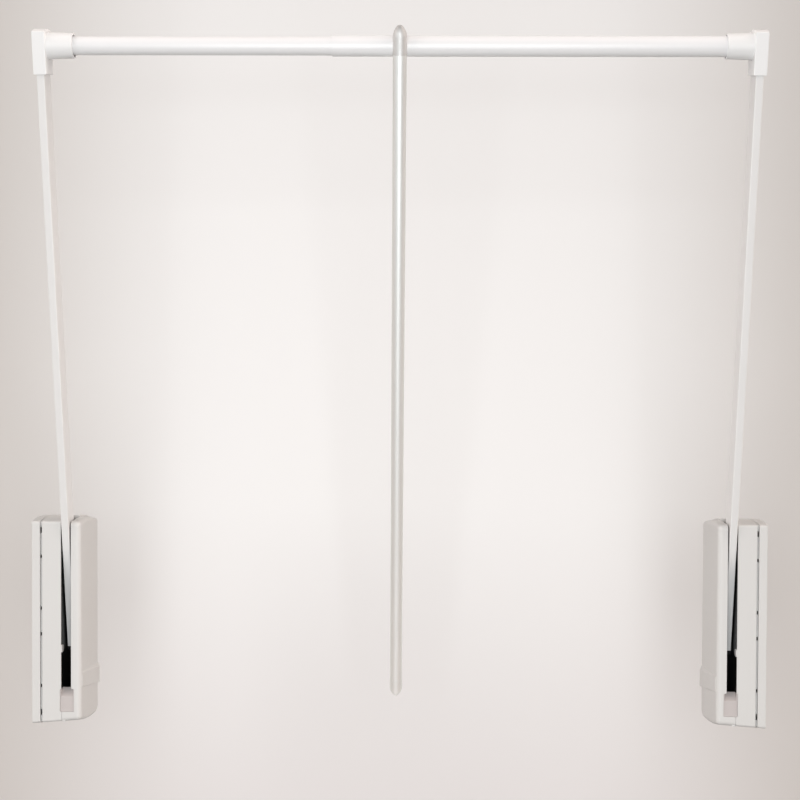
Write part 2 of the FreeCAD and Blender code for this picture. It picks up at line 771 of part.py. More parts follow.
def rack_carriage():
    """Rack bar and the crosshead that it lifts against the spring and the damper."""
    x1 = gear_x + gear_width
    pitch_y = pivot_y + gear_pitch
    root_y = pitch_y + gear_module + gear_root_clearance
    tip_y = pitch_y - gear_module
    low = pivot_z - (tooth_count_below() + 0.25) * rack_pitch
    bar = block(gear_x, x1, root_y - tiny, root_y + rack_back, low, cross_bottom + tiny)
    lean = math.tan(math.radians(gear_pressure_angle))
    half = rack_pitch / 4 - gear_backlash / 2
    teeth = []
    for k in range(-tooth_count_below(), 2):
        z = pivot_z + (k + 0.5) * rack_pitch
        tip = half - lean * (pitch_y - tip_y)
        foot = half + lean * (root_y - pitch_y)
        teeth.append(plate_yz([(tip_y, z - tip), (root_y + rib, z - foot - lean * rib),
                               (root_y + rib, z + foot + lean * rib), (tip_y, z + tip)],
                              gear_x, x1))
    cross = block(cross_outer, cross_inner, cross_front, cross_back, cross_bottom, cross_top)
    cross = cross.makeFillet(cross_round, lengthwise(cross, 2))
    pocket = block(gear_x + gear_width / 2, cross_inner + 1, cross_front - 1, guide_y - guide_rod,
                   cross_bottom - 1, cross_top + 1)
    pocket = pocket.makeFillet(cross_round / 2, lengthwise(pocket, 2))
    body = fused(cross.cut(pocket), [bar] + teeth)
    cuts = [
        rod_z(guide_rod + 2 * running_fit, cross_bottom - 1, cross_top + 1, guide_x, guide_y),
        rod_z(damper_rod, cross_bottom - 1, cross_top + 1, damper_x, damper_y),
    ]
    return one_solid(cut_all(body, cuts))


# ---- arm, hub and elbow ----
def arm_hub():
    """Forged hub: barrel on the axle, shaft to the sector and tang inside the arm."""
    barrel = rod_x(hub_barrel, arm_outer, arm_inner, 0, 0)
    half = arm_depth / 2
    shoulder = plate_yz([(-hub_barrel / 2, 0), (hub_barrel / 2, 0), (half, arm_start),
                         (-half, arm_start)], arm_outer, arm_inner)
    inner_half = half - arm_wall - tang_gap
    tang = block(arm_outer + arm_wall + tang_gap, arm_inner - arm_wall - tang_gap,
                 -inner_half, inner_half, arm_start - 1, arm_start + tang_length)
    tang = tang.makeFillet(arm_edge, lengthwise(tang, 2))
    rivets = [rod_x(rivet, 0, housing_thickness, 0, h) for h in rivet_heights]
    grip = in_arm_frame(cut_all(fused(barrel, [shoulder, tang]), rivets))
    plain = rod_x(hub_shaft, gear_x + gear_width, arm_outer + 1, pivot_y, pivot_z)
    keyed = hub_section(hub_outer_end, gear_x + gear_width, 0)
    body = fused(grip, [plain, keyed])
    bore = rod_x(axle + 2 * running_fit, hub_outer_end - 1, arm_inner + 1, pivot_y, pivot_z)
    return one_solid(body.cut(bore))


def arm_tube():
    half = arm_depth / 2
    top = arm_reach + arm_overrun
    tube = block(arm_outer, arm_inner, -half, half, arm_start, top)
    tube = tube.makeFillet(arm_edge, lengthwise(tube, 2))
    hollow = block(arm_outer + arm_wall, arm_inner - arm_wall, -half + arm_wall, half - arm_wall,
                   arm_start - 1, top + 1)
    rivets = [rod_x(rivet, 0, housing_thickness, 0, h) for h in rivet_heights]
    screw = rod_x(elbow_screw, 0, slot_centre, 0, arm_reach - elbow_screw_drop)
    coped = rod_x(hub_barrel + 2 * hub_fit, 0, housing_thickness, 0, 0)
    return in_arm_frame(one_solid(cut_all(tube, [hollow, screw, coped] + rivets)))


def arm_rivets():
    rivets = []
    for height in rivet_heights:
        shank = rod_x(rivet, arm_outer, arm_inner, 0, height)
        heads = []
        for face, side in ((arm_outer, -1), (arm_inner, 1)):
            edges = outline([(0, side * rivet_head_rise), (0, 0), (rivet_head / 2, 0)])
            edges.append(cap_arc(rivet_head / 2, 0, side * rivet_head_rise))
            heads.append(turned(edges, V(face, 0, height), False))
        rivets.append(in_arm_frame(one_solid(fused(shank, heads))))
    return Part.makeCompound(rivets)


def elbow():
    """Moulded corner: a leg over the end of the arm and a tapered socket for the rail."""
    r = elbow_depth / 2
    low = arm_reach - elbow_leg
    high = arm_reach + elbow_top
    edges = [
        Part.LineSegment(V(elbow_outer, -r, low), V(elbow_outer, -r, high)).toShape(),
        Part.Arc(V(elbow_outer, -r, high), V(elbow_outer, 0, high + elbow_crown),
                 V(elbow_outer, r, high)).toShape(),
        Part.LineSegment(V(elbow_outer, r, high), V(elbow_outer, r, low)).toShape(),
        Part.LineSegment(V(elbow_outer, r, low), V(elbow_outer, -r, low)).toShape(),
    ]
    leg = Part.Face(Part.Wire(edges)).extrude(V(elbow_width, 0, 0))
    upper = [e for e in lengthwise(leg, 0) if e.Vertexes[0].Z > arm_reach]
    leg = leg.makeFillet(elbow_corner, upper)
    leg = leg.makeFillet(elbow_edge, edges_at_x(leg, elbow_outer) + edges_at_x(leg, elbow_inner))
    flare = socket_end - elbow_inner + elbow_edge
    slope = (socket_root - socket_mouth) / 2 / (socket_end - elbow_inner)
    root = socket_mouth / 2 + slope * flare
    socket = Part.makeCone(root, socket_mouth / 2, flare,
                           V(elbow_inner - elbow_edge, 0, arm_reach), V(1, 0, 0))
    socket = socket.makeFillet(wall / 4, edges_at_x(socket, socket_end))
    body = leg.fuse(socket).removeSplitter()
    half = arm_depth / 2 + elbow_fit
    pocket = block(arm_outer - elbow_fit, arm_inner + elbow_fit, -half, half, low - 1,
                   arm_reach + arm_overrun + elbow_fit)
    bore = rod_x(socket_bore, socket_start, socket_end + 1, 0, arm_reach)
    countersink = Part.makeCone(elbow_screw_head / 2 + elbow_fit, elbow_screw / 2 + elbow_fit,
                                elbow_width / 8, V(elbow_outer, 0, arm_reach - elbow_screw_drop),
                                V(1, 0, 0))
    screw = rod_x(elbow_screw + 2 * elbow_fit, elbow_outer - 1, slot_centre, 0,
                  arm_reach - elbow_screw_drop)
    return in_arm_frame(one_solid(cut_all(body, [pocket, bore, countersink, screw])))


def elbow_screw_piece():
    z = arm_reach - elbow_screw_drop
    head = Part.makeCone(elbow_screw_head / 2, elbow_screw / 2, elbow_width / 8,
                         V(elbow_outer, 0, z), V(1, 0, 0))
    shank = rod_x(elbow_screw, elbow_outer + elbow_width / 8, arm_outer + arm_wall + 1, 0, z)
    drive = rod_x(elbow_screw_head / 3, elbow_outer - 1, elbow_outer + elbow_width / 16, 0, z)
    return in_arm_frame(one_solid(head.fuse(shank).removeSplitter().cut(drive)))


# ---- rail ----
def tube_x(diameter, wall_thickness, x0, x1):
    outside = rod_x(diameter, x0, x1, rail_y, rail_z)
    return outside.cut(rod_x(diameter - 2 * wall_thickness, x0 - 1, x1 + 1, rail_y, rail_z))


def thin_rail_tube():
    return tube_x(thin_tube, tube_wall, socket_start, tube_joint_x + tube_lap)


def thick_rail_tube():
    bore = thin_tube + 2 * tube_fit
    return tube_x(thick_tube, (thick_tube - bore) / 2, tube_joint_x, inner_width - socket_start)


def adapter_ring(tube):
    """Ring that centres a tube in an elbow's socket, with x counted from the panel."""
    outside = socket_bore - 2 * running_fit
    ring = rod_x(outside, socket_start, socket_end - adapter_setback, rail_y, rail_z)
    return ring.cut(rod_x(tube, 0, socket_end, rail_y, rail_z))


def tube_adapter():
    return adapter_ring(thin_tube)


def thick_tube_adapter():
    return adapter_ring(thick_tube).mirror(V(inner_width / 2, 0, 0), V(1, 0, 0))


def tube_plug():
    """Plug in the inner end of the thin tube, which guides it in the thick one."""
    end = tube_joint_x + tube_lap
    head = rod_x(thin_tube, end, end + plug_head, rail_y, rail_z)
    head = head.makeFillet(plug_head / 3, edges_at_x(head, end + plug_head))
    body = head.fuse(rod_x(thin_tube - 2 * tube_wall, end - plug_depth, end, rail_y, rail_z))
    hole = rod_x(thin_tube - 4 * tube_wall, end - plug_depth - 1, end, rail_y, rail_z)
    return one_solid(body.removeSplitter().cut(hole))


# ---- handle, built round the rail axis and then tilted ----
def on_rail(shape):
    shape = shape.copy()
    shape.rotate(V(0, 0, 0), V(1, 0, 0), handle_tilt)
    shape.translate(V(handle_x, rail_y, rail_z))
    return shape


def leaned(shape):
    """Turned on the clip's stud, so that the lower end goes to the left."""
    shape = shape.copy()
    shape.rotate(V(0, 0, 0), V(0, 1, 0), handle_lean)
    return shape


def clip_bore():
    return thick_tube + 2 * clip_fit


def handle_head_piece():
    """Bullet-shaped head in front of the rail, scooped at the back for rail and clip."""
    r = handle_head / 2
    shoulder = handle_tip - handle_nose
    spigot = handle_tube / 2 - handle_tube_wall - elbow_fit
    low = -handle_head_drop
    foot = low - handle_spigot
    edges = outline([(0, handle_tip), (0, foot), (spigot, foot), (spigot, low), (r, low),
                     (r, shoulder)])
    edges += nose_arcs(r, shoulder, handle_nose, handle_tip_radius)
    body = leaned(turned(edges, V(0, -handle_offset, 0)))
    return on_rail(one_solid(cut_all(body, clip_cuts())))


def clip_cuts():
    """Room that the handle leaves for the rail, the clip and the clip's stud."""
    outer = clip_bore() + 2 * clip_wall
    side = clip_width / 2 + clip_fit
    return [
        rod_x(clip_bore(), -handle_head, handle_head, 0, 0),
        rod_x(outer + 2 * clip_fit, -side, side, 0, 0),
        rod_y(clip_stud + 2 * clip_fit, -outer / 2 - clip_stud_length - clip_fit, 0, 0, 0),
    ]


def handle_clip():
    """Spring clip that grips the rail and opens to the back."""
    outer = clip_bore() + 2 * clip_wall
    half = clip_width / 2
    ring = rod_x(outer, -half, half, 0, 0).cut(rod_x(clip_bore(), -half - 1, half + 1, 0, 0))
    spread = outer * math.tan(math.radians(clip_mouth / 2))
    mouth = plate_yz([(0, 0), (outer, -spread), (outer, spread)], -half - 1, half + 1)
    clip = ring.cut(mouth)
    clip = clip.makeFillet(clip_wall * 0.35, lengthwise(clip, 0))
    stud = rod_y(clip_stud, -outer / 2 - clip_stud_length, -outer / 2 + clip_wall / 2, 0, 0)
    return on_rail(one_solid(clip.fuse(stud).removeSplitter()))


def handle_tube_piece():
    top = -handle_head_drop
    low = -handle_end + cap_dome
    outside = rod_z(handle_tube, low, top, 0, -handle_offset)
    bore = handle_tube - 2 * handle_tube_wall
    tube = leaned(outside.cut(rod_z(bore, low - 1, top + 1, 0, -handle_offset)))
    return on_rail(one_solid(cut_all(tube, clip_cuts())))


def handle_end_cap():
    """Rounded cap with a collar over the end of the tube."""
    r = cap_diameter / 2
    seat = -handle_end + cap_dome
    bore = handle_tube / 2 + running_fit
    edges = outline([
        (r, seat), (bore + cap_lip, seat + cap_collar), (bore, seat + cap_collar), (bore, seat),
        (0, seat), (0, -handle_end),
    ])
    edges += nose_arcs(r, seat, -cap_dome, cap_tip_radius)
    return on_rail(leaned(turned(edges, V(0, -handle_offset, 0))))


# ---- write one file for each node ----
def write(name, shape):
    if not shape.isValid():
        raise ValueError(name + " is not valid")
    shape.exportStep(os.path.join("parts", name + ".step"))
    print("%-26s %2d solid(s) %10.1f mm3" % (name, len(shape.Solids), shape.Volume))


os.makedirs("parts", exist_ok=True)

unit_pieces = {
    "base_plate": base_plate,
    "outer_shell": outer_shell,
    "inner_shell": inner_shell,
    "chassis": chassis,
    "slot_pad": slot_pad,
    "pivot_axle": pivot_axle,
    "hub_bush": hub_bush,
    "guide_rod": guide_rod_piece,
    "lift_spring": lift_spring,
    "damper_cylinder": damper_cylinder,
    "shell_screws": shell_screws,
    "rack_carriage": rack_carriage,
    "damper_rod": damper_rod_piece,
    "arm_hub": arm_hub,
    "toothed_sector": toothed_sector,
    "arm": arm_tube,
    "arm_rivets": arm_rivets,
    "elbow": elbow,
    "elbow_screw": elbow_screw_piece,
}
for piece_name, build in unit_pieces.items():
    piece = build()
    write("left_" + piece_name, piece)
    write("right_" + piece_name, piece.mirror(V(inner_width / 2, 0, 0), V(1, 0, 0)))

rail_pieces = {
    "thin_rail_tube": thin_rail_tube,
    "thick_rail_tube": thick_rail_tube,
    "tube_adapter": tube_adapter,
    "thick_tube_adapter": thick_tube_adapter,
    "thin_tube_plug": tube_plug,
    "handle_head": handle_head_piece,
    "handle_clip": handle_clip,
    "handle_tube": handle_tube_piece,
    "handle_end_cap": handle_end_cap,
}
for piece_name, build in rail_pieces.items():
    write(piece_name, build())

print("rail axis y %.3f z %.3f, rack travel %.3f" % (rail_y, rail_z, rack_travel))
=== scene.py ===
# %% [markdown]
# # A pull-down wardrobe rail, dressed in Blender
#
# Two spring housings sit on the side panels of a wardrobe. Each one carries an arm,
# the arms carry a telescopic rail, and a long pull rod hangs from the rail. The
# shapes come from a CAD model in metres, with +X along the rail, -Y to the front
# and +Z up. This lesson gives each part its finish, adds the few pieces that are
# easier to model here than in CAD, and lights the whole for a product picture.

# %% Load the CAD frame
import math
import bpy
from mathutils import Matrix, Vector


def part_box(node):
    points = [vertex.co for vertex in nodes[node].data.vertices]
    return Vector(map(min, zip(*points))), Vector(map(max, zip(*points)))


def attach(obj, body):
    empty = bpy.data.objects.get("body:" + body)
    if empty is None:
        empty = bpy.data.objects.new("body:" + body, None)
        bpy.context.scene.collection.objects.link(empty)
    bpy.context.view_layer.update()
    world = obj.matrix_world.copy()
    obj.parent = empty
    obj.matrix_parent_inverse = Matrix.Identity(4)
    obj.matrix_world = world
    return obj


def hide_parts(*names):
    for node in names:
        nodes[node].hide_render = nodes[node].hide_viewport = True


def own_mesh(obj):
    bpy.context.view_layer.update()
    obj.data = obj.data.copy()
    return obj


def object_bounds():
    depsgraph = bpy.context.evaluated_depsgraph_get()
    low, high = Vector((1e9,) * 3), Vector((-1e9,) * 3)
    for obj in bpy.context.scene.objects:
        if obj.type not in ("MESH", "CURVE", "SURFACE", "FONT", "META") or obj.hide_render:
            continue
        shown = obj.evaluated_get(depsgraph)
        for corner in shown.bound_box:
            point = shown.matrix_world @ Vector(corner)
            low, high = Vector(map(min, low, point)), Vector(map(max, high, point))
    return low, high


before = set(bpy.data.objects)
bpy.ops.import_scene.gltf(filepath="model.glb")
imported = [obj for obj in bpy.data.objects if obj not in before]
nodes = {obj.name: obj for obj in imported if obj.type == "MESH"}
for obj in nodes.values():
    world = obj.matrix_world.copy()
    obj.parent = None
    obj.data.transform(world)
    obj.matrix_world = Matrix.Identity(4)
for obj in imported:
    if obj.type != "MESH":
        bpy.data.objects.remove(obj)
cad_low, cad_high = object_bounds()
mm = 0.001
print("CAD nodes:", len(nodes), "box:", [round(v, 3) for v in (*cad_low, *cad_high)])

# %% [markdown]
# ## Colours
#
# Designers write colours as sRGB hex values, and Blender's shaders work in linear
# light. One function turns the one into the other, so that every colour below can
# be read and compared as it is written. Its numbers are those of the sRGB standard.
# A second one darkens a colour, for surfaces that aren't quite even.

# %% Turn a hex colour to linear light


def colour(hex_code):
    """Linear RGBA from an sRGB hex code such as "e8e4df"."""
    channels = [int(hex_code[i:i + 2], 16) / 255 for i in (0, 2, 4)]
    linear = [c / 12.92 if c <= 0.04045 else ((c + 0.055) / 1.055) ** 2.4 for c in channels]
    return (*linear, 1.0)


def darker(hex_code, share):
    """The colour with only this share of its light."""
    return tuple(c * share for c in colour(hex_code)[:3]) + (1.0,)


print("mid grey in linear light:", round(colour("808080")[0], 3))

# %% [markdown]
# ## One function for every shader node
#
# A material is a small network. Instead of a function for each kind of node, one
# function adds any node, sets its options and values, and links what comes from
# other nodes. A pair of (node, "socket") is a link, and anything else is a value.

# %% Functions that add a node, start and end a material, and scale a pattern


def add_node(material, kind, options=None, **inputs):
    """Adds a shader node. An input goes by its name, with underscores for spaces, or as i0."""
    tree = material.node_tree
    node = tree.nodes.new("ShaderNode" + kind)
    for name, value in (options or {}).items():
        setattr(node, name, value)
    for name, value in inputs.items():
        numbered = name[0] == "i" and name[1:].isdigit()
        key = int(name[1:]) if numbered else name.replace("_", " ")
        if isinstance(value, tuple) and isinstance(value[0], bpy.types.Node):
            tree.links.new(value[0].outputs[value[1]], node.inputs[key])
        else:
            node.inputs[key].default_value = value
    return node


def new_material(name):
    """An empty material and the position of each point on the part, in metres."""
    material = bpy.data.materials.new(name)
    material.use_nodes = True
    material.node_tree.nodes.clear()
    place = add_node(material, "TexCoord")
    return material, (place, "Object")


def finish_material(material, shader):
    """Links the shader to the material's output."""
    output = add_node(material, "OutputMaterial")
    material.node_tree.links.new(shader.outputs[0], output.inputs["Surface"])
    return material


def per_metre(size_mm):
    """Texture scale for a pattern whose features are size_mm apart."""
    return 1 / (size_mm * mm)


print("a 2 mm pattern has scale", per_metre(2.0))

# %% [markdown]
# ## What all the finishes share
#
# No real surface has one flat colour, one gloss and knife edges. A noise makes the
# colour or the gloss a little uneven, and a noise also stands as relief in a bump. A
# Bevel node rounds the shading of the edges, because the mesh itself must stay as
# the CAD model has it.

# %% The range of a noise, and its relief over soft edges
noise_low = 0.3    # most of a noise lies between these two values
noise_high = 0.7
bevel_samples = 6


def relief(material, noise, depth_mm, edge_mm):
    """The noise as a bump, on edges that look rounded."""
    edge = add_node(material, "Bevel", {"samples": bevel_samples}, Radius=edge_mm * mm)
    bump = add_node(material, "Bump", Height=(noise, "Fac"), Distance=depth_mm * mm,
                    Strength=1.0, Normal=(edge, "Normal"))
    return bump, "Normal"


print("noise between", noise_low, "and", noise_high)

# %% [markdown]
# ## Moulded ABS
#
# The housings are injection moulded ABS. The mould is spark eroded, which leaves a
# fine even grain that takes the gloss off the plastic, and the moulded edges are
# never sharp. The grain is one noise in a bump. A fainter and larger noise varies
# tone and gloss, as the flow of the plastic does. The elbows' polyamide and the pads'
# elastomer are moulded too, so they come from the same function.

# %% White grained ABS and the other plastics
flow_mm = 60.0
flow_dark_share = 0.98
flow_gloss_spread = 0.04
plastic_ior = 1.53


def moulded_plastic(name, hex_code, grain_mm, grain_depth_mm, roughness, edge_mm):
    """Moulded plastic with an eroded grain, soft edges and a faint uneven gloss."""
    material, place = new_material(name)
    grain = add_node(material, "TexNoise", Vector=place, Scale=per_metre(grain_mm), Detail=3.0)
    flow = add_node(material, "TexNoise", Vector=place, Scale=per_metre(flow_mm), Detail=2.0)
    tone = add_node(material, "Mix", {"data_type": "RGBA"}, i0=(flow, "Fac"),
                    i6=darker(hex_code, flow_dark_share), i7=colour(hex_code))
    gloss = add_node(material, "MapRange", Value=(flow, "Fac"),
                     From_Min=noise_low, From_Max=noise_high,
                     To_Min=roughness - flow_gloss_spread, To_Max=roughness + flow_gloss_spread)
    shader = add_node(material, "BsdfPrincipled", Base_Color=(tone, 2), Roughness=(gloss, "Result"),
                      IOR=plastic_ior, Normal=relief(material, grain, grain_depth_mm, edge_mm))
    return finish_material(material, shader)


# The housings' real grain is about 0.2 mm and can't show from here, so it is drawn at
# 2 mm. The other grains are as fine, and are drawn at about 1 mm for the same reason.
housing_abs = moulded_plastic("white_grained_abs", "d6d5d3", 2.0, 0.09, 0.48, 0.4)
elbow_polyamide = moulded_plastic("white_polyamide", "efefef", 1.2, 0.006, 0.36, 0.6)
pad_elastomer = moulded_plastic("grey_elastomer", "c4bdbb", 0.7, 0.015, 0.62, 0.3)
black_abs = moulded_plastic("black_abs", "15151a", 0.8, 0.012, 0.5, 0.3)
natural_nylon = moulded_plastic("moulded_natural_nylon", "d9d4c6", 1.0, 0.008, 0.4, 0.25)
plastics = (housing_abs, elbow_polyamide, pad_elastomer, black_abs, natural_nylon)
print("plastics:", [plastic.name for plastic in plastics])

# %% [markdown]
# ## Powder coat
#
# The arms and both rail tubes are steel with a white powder coat. The powder melts
# and flows in the oven, and its skin keeps a shallow wave that is called orange
# peel. It is smooth noise of about three millimetres under a clear gloss. The steel
# inside the housings has a black coat with a finer peel.

# %% White and black powder coat
peel_depth_mm = 0.005
coat_edge_mm = 0.4
cloud_mm = 90.0
cloud_dark_share = 0.985
coat_ior = 1.5


def powder_coat(name, hex_code, roughness, peel_mm=3.0):
    """Baked powder coat: orange peel in the bump, and a soft clear skin."""
    material, place = new_material(name)
    peel = add_node(material, "TexNoise", Vector=place, Scale=per_metre(peel_mm), Detail=1.0)
    cloud = add_node(material, "TexNoise", Vector=place, Scale=per_metre(cloud_mm), Detail=2.0)
    tone = add_node(material, "Mix", {"data_type": "RGBA"}, i0=(cloud, "Fac"),
                    i6=darker(hex_code, cloud_dark_share), i7=colour(hex_code))
    shader = add_node(material, "BsdfPrincipled", Base_Color=(tone, 2), Roughness=roughness,
                      IOR=coat_ior, Normal=relief(material, peel, peel_depth_mm, coat_edge_mm),
                      Coat_Weight=0.25, Coat_Roughness=0.2)
    return finish_material(material, shader)


arm_coat = powder_coat("white_arm_powder_coat", "e4e3e2", 0.38)
tube_coat = powder_coat("white_tube_powder_coat", "f0f0f1", 0.3)
black_coat = powder_coat("black_powder_coat", "0d0e0c", 0.5, peel_mm=1.4)
print("powder coats:", [coat.name for coat in (arm_coat, tube_coat, black_coat)])

# %% [markdown]
# ## Satin anodised aluminium
#
# The pull rod is an extruded aluminium tube. It is etched in caustic before it is
# anodised, and that turns the die lines into a soft satin sheen. A metal's colour
# is its reflection, so the base colour is light and the roughness does the work.
# The faint die lines are noise that is stretched forty times along Z. The rod leans
# away from Z, and the lines are too faint to show that. The rod's head and clip are
# sprayed with a silver lacquer that matches it, and have a fine grain in place of
# lines. The pins, screws and springs are plain steels.

# %% Anodised aluminium, silver lacquer and plain steels
metal_edge_mm = 0.25
metal_gloss_spread = 0.05


def metal(name, hex_code, roughness, line_mm=0.8, stretch=(1, 1, 1), depth_mm=0.004):
    """Metal with fine lines. stretch divides the pattern's scale along each axis."""
    material, place = new_material(name)
    lines_place = add_node(material, "Mapping", Vector=place,
                           Scale=tuple(1 / s for s in stretch))
    lines = add_node(material, "TexNoise", Vector=(lines_place, "Vector"),
                     Scale=per_metre(line_mm), Detail=2.0)
    gloss = add_node(material, "MapRange", Value=(lines, "Fac"),
                     From_Min=noise_low, From_Max=noise_high,
                     To_Min=roughness - metal_gloss_spread, To_Max=roughness + metal_gloss_spread)
    shader = add_node(material, "BsdfPrincipled", Base_Color=colour(hex_code), Metallic=1.0,
                      Roughness=(gloss, "Result"),
                      Normal=relief(material, lines, depth_mm, metal_edge_mm))
    return finish_material(material, shader)


# Real die lines and the grain of a lacquer are about 0.1 mm apart and don't show from
# here, so they are drawn coarser, and the lacquer's grain deeper too.
rod_lacquer = metal("satin_silver_lacquer", "e2e2e1", 0.6, line_mm=1.8, depth_mm=0.12)
rod_aluminium = metal("satin_anodised_aluminium", "f3f5f4", 0.56, stretch=(1, 1, 40))
ground_steel = metal("ground_steel", "b9b9ba", 0.25, line_mm=0.5, stretch=(1, 1, 20))
spring_steel = metal("oiled_spring_steel", "6d6a66", 0.32, line_mm=1.5)
zinc_plate = metal("bright_zinc_plate", "c4c8cc", 0.28, line_mm=1.0)
metals = (rod_lacquer, rod_aluminium, ground_steel, spring_steel, zinc_plate)
print("metals:", [one.name for one in metals])

# %% [markdown]
# ## Put the finishes on the CAD pieces
#
# The nodes of the CAD model keep their meshes. Each name ends in the piece's own
# name, so one dictionary covers the left and the right side.

# %% Give each CAD node its finish
finishes = {
    "base_plate": housing_abs, "outer_shell": housing_abs, "inner_shell": housing_abs,
    "chassis": black_coat, "slot_pad": pad_elastomer, "pivot_axle": ground_steel,
    "hub_bush": black_abs, "guide_rod": ground_steel, "lift_spring": spring_steel,
    "damper_cylinder": black_coat, "shell_screws": zinc_plate, "rack_carriage": natural_nylon,
    "damper_rod": ground_steel, "arm_hub": black_coat, "toothed_sector": natural_nylon,
    "arm": arm_coat, "arm_rivets": zinc_plate, "elbow": elbow_polyamide,
    "elbow_screw": zinc_plate, "thin_rail_tube": tube_coat, "thick_rail_tube": tube_coat,
    "tube_adapter": black_abs, "thick_tube_adapter": black_abs, "thin_tube_plug": black_abs,
    "handle_head": rod_lacquer, "handle_clip": rod_lacquer, "handle_tube": rod_aluminium,
    "handle_end_cap": rod_aluminium,
}
for name, piece in nodes.items():
    own_name = name.removeprefix("left_").removeprefix("right_")
    piece.data.materials.clear()
    piece.data.materials.append(finishes[own_name])
print("finished", len(nodes), "nodes with", len(set(finishes.values())), "finishes")

# %% [markdown]
# ## Coil springs of round wire
#
# A compression spring is coiled from round wire, and its last turn at each end lies
# flat on the seat. The CAD model draws a square wire with flats, which keeps its file
# small. Here a circle is swept along the helix, which closes up over the first and the
# last turn.

# %% Work out how the coil climbs
wire_radius = 1.3 * mm
coil_radius = 9.0 * mm
turns = 10.5
close_turns = 0.9


def coil_height(turn, length):
    """Height of the wire's centre after some turns. The first and last turns are closed."""
    close_rise = 2 * wire_radius * close_turns
    open_rise = (length - 2 * wire_radius - 2 * close_rise) / (turns - 2 * close_turns)
    low_part = min(turn, close_turns) * 2 * wire_radius
    open_part = min(max(turn - close_turns, 0), turns - 2 * close_turns) * open_rise
    high_part = max(turn - (turns - close_turns), 0) * 2 * wire_radius
    return wire_radius + low_part + open_part + high_part


print("each closed end climbs", round(2 * wire_radius * close_turns / mm, 2), "mm")

# %% [markdown]
# ### Sweep the wire and hang it on its housing
#
# Each side's coil stands where the CAD model has its node, and hangs on its housing.
# When the lift comes down, the crosshead pushes the coil against the upper shelf. The
# right coil winds the other way, as the right housing is the left one's mirror image.

# %% Coil the two springs
steps_per_turn = 24
wire_sides = 10


def coil_spring(side, hand):
    """One spring where the CAD node stands. hand is 1 for a right-hand coil, -1 for a left."""
    low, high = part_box(side + "_lift_spring")
    axis_x, axis_y = (low[0] + high[0]) / 2, (low[1] + high[1]) / 2
    length = high[2] - low[2]
    vertices = []
    faces = []
    step_count = round(turns * steps_per_turn)
    for step in range(step_count + 1):
        turn = step / steps_per_turn
        angle = hand * 2 * math.pi * turn
        height = low[2] + coil_height(turn, length)
        for side_step in range(wire_sides):
            around = 2 * math.pi * side_step / wire_sides
            radius = coil_radius + wire_radius * math.cos(around)
            vertices.append((axis_x + radius * math.cos(angle), axis_y + radius * math.sin(angle),
                             height + wire_radius * math.sin(around)))
        for side_step in range(wire_sides if step else 0):
            here = step * wire_sides + side_step
            beside = step * wire_sides + (side_step + 1) % wire_sides
            faces.append((here - wire_sides, here, beside, beside - wire_sides)[::hand])
    first_end = tuple(range(wire_sides))
    last_end = tuple(range(step_count * wire_sides, (step_count + 1) * wire_sides))
    faces += [first_end[::hand], last_end[::-hand]]
    mesh = bpy.data.meshes.new(side + "_coil_spring")
    mesh.from_pydata(vertices, [], faces)
    mesh.shade_smooth()
    mesh.materials.append(spring_steel)
    spring = bpy.data.objects.new(side + "_coil_spring", mesh)
    bpy.context.scene.collection.objects.link(spring)
    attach(spring, side + "_housing")
    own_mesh(spring)
    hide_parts(side + "_lift_spring")
    return spring


for spring in (coil_spring("left", 1), coil_spring("right", -1)):
    print(spring.name, "faces:", len(spring.data.polygons))

# %% [markdown]
# ## Screws with a cross recess
#
# Four thread-forming screws hold the covers of each housing from behind, and one
# countersunk screw holds each elbow on its arm. The crown and the recess are too fine
# for the CAD file, so the pieces made here stand for its plain ones. A screw is a
# turned profile, and its recess is punched: two tapered blades that cross, cut from
# the head.

# %% Turn a profile
screw_steps = 32


def scene_object(name, vertices, faces):
    """A mesh object in the scene from its points and faces."""
    mesh = bpy.data.meshes.new(name)
    mesh.from_pydata(vertices, [], faces)
    made = bpy.data.objects.new(name, mesh)
    bpy.context.scene.collection.objects.link(made)
    return made


def turned(name, profile):
    """A solid turned about Z from (radius, height) pairs, lowest first."""
    vertices = []
    faces = []
    for row, (radius, height) in enumerate(profile):
        for step in range(screw_steps):
            angle = 2 * math.pi * step / screw_steps
            vertices.append((radius * math.cos(angle), radius * math.sin(angle), height))
            if row:
                here = row * screw_steps + step
                beside = row * screw_steps + (step + 1) % screw_steps
                faces.append((here - screw_steps, beside - screw_steps, beside, here))
    faces.append(tuple(range(screw_steps))[::-1])
    faces.append(tuple(range((len(profile) - 1) * screw_steps, len(profile) * screw_steps)))
    return scene_object(name, vertices, faces)


print("sides of a turned screw:", screw_steps)

# %% [markdown]
# ### Punch the recess
#
# A Boolean cut with the exact solver gives the recess clean walls. Each blade reaches
# as far above the head as below its top, so that the cut leaves no thin skin.

# %% Cut a cross into a screw's head
blade_width = 0.9 * mm
blade_span = 3.6 * mm
blade_depth = 1.1 * mm
blade_foot_share = 0.45    # of blade_span, at the recess's bottom
blade_head_share = 1.3     # of blade_span, above the head


def blade(name, top, turned_round):
    """One tapered blade of the punch, which reaches blade_depth below top."""
    vertices = []
    for height, share in ((top - blade_depth, blade_foot_share),
                          (top + blade_depth, blade_head_share)):
        for x, y in ((-1, -1), (1, -1), (1, 1), (-1, 1)):
            half = (x * share * blade_span / 2, y * blade_width / 2)
            vertices.append((half[turned_round], half[1 - turned_round], height))
    faces = [(3, 2, 1, 0), (4, 5, 6, 7), (0, 1, 5, 4), (1, 2, 6, 5), (2, 3, 7, 6), (3, 0, 4, 7)]
    return scene_object(name, vertices, [f[::-1] for f in faces] if turned_round else faces)


